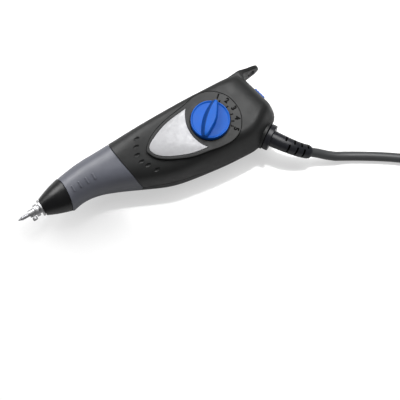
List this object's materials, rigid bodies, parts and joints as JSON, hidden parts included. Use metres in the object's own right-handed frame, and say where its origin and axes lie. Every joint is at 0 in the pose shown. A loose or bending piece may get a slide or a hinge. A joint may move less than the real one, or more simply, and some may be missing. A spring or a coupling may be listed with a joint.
{
  "type": "electric engraving pen",
  "caption": "Hand-held electric engraving pen with a striking point, stroke dial, slide switch, hanging eye and a mains lead put away in a tied coil.",
  "frame": {"origin": "under the middle of the pen (without its lead), on the surface its back half lies on", "axes": "+X from the striking point to the rear, +Y towards the spine with the hanging eye, +Z out of the dial side"},
  "size_m": [0.3634, 0.1418, 0.0508],
  "materials": {
    "shell": "satin moulded, charcoal",
    "grip": "satin moulded, blue-grey",
    "nose": "gloss black",
    "dial_blue": "semi-gloss blue",
    "name_plate": "satin silver, bare",
    "chrome": "plated",
    "steel": "machined",
    "carbide": "ground hard metal",
    "bronze": "sintered bronze",
    "core_iron": "stacked sheets",
    "copper": "enamelled copper wire",
    "nylon": "moulded nylon",
    "boot_rubber": "semi-gloss moulded",
    "cord_rubber": "satin jacket"
  },
  "bodies": {
    "housing": {"dial_side_shell": "shell", "back_shell": "shell", "grip_sleeve": "grip", "nose_cone": "nose", "nose_ring": "chrome", "front_bush": "bronze", "name_plate": "name_plate", "magnet_core": "core_iron", "coil_bobbin": "nylon", "coil_winding": "copper", "switch_body": "nylon", "strain_relief": "boot_rubber", "cord_clamp": "nylon", "cord_clamp_screw_1": "steel", "cord_clamp_screw_2": "steel", "inner_cord": "cord_rubber", "shell_screw_1": "steel", "shell_screw_2": "steel", "shell_screw_3": "steel", "shell_screw_4": "steel", "return_spring": "steel", "power_cord": "cord_rubber", "cord_coil": "cord_rubber", "cord_tail": "cord_rubber", "cord_tie": "nylon", "plug_body": "cord_rubber", "plug_pin_1": "chrome", "plug_pin_2": "chrome"},
    "dial": {"stroke_dial": "dial_blue", "stroke_cam": "nylon", "cam_screw": "steel"},
    "bar": {"stroke_bar": "nylon"},
    "slider": {"switch_slider": "dial_blue"},
    "plunger": {"chuck_rod": "steel", "armature_plate": "core_iron", "armature_nut": "steel"},
    "clamp_screw_body": {"clamp_screw": "steel"},
    "point": {"engraving_point": "carbide"}
  },
  "joints": [
    {"name": "dial_turn", "type": "hinge", "parent": "housing", "child": "dial", "pos_m": [0.04298, 0.01147, 0.041], "axis": [0, 0, 1], "range_deg": [-90, 0]},
    {"name": "stroke_bar_slide", "type": "slide", "parent": "housing", "child": "bar", "axis": [1, 0, 0], "range_m": [0, 0.0015]},
    {"name": "switch_slide", "type": "slide", "parent": "housing", "child": "slider", "axis": [0.2334, -0.9724, 0], "range_m": [0, 0.005]},
    {"name": "plunger_stroke", "type": "slide", "parent": "housing", "child": "plunger", "axis": [1, 0, 0], "range_m": [-0.00075, 0.00075], "stiffness_N_per_m": 1500, "deforming": ["return_spring"]},
    {"name": "clamp_screw_turn", "type": "hinge", "parent": "plunger", "child": "clamp_screw_body", "pos_m": [-0.08702, 0.02267, 0.021], "axis": [0, 1, 0], "range_deg": [0, 360]},
    {"name": "point_pull", "type": "slide", "parent": "plunger", "child": "point", "axis": [-1, 0, 0], "range_m": [0, 0.022]}
  ],
  "couplings": [
    {"joint": "stroke_bar_slide", "follows": "dial_turn", "m_per_rad": -0.000954}
  ]
}
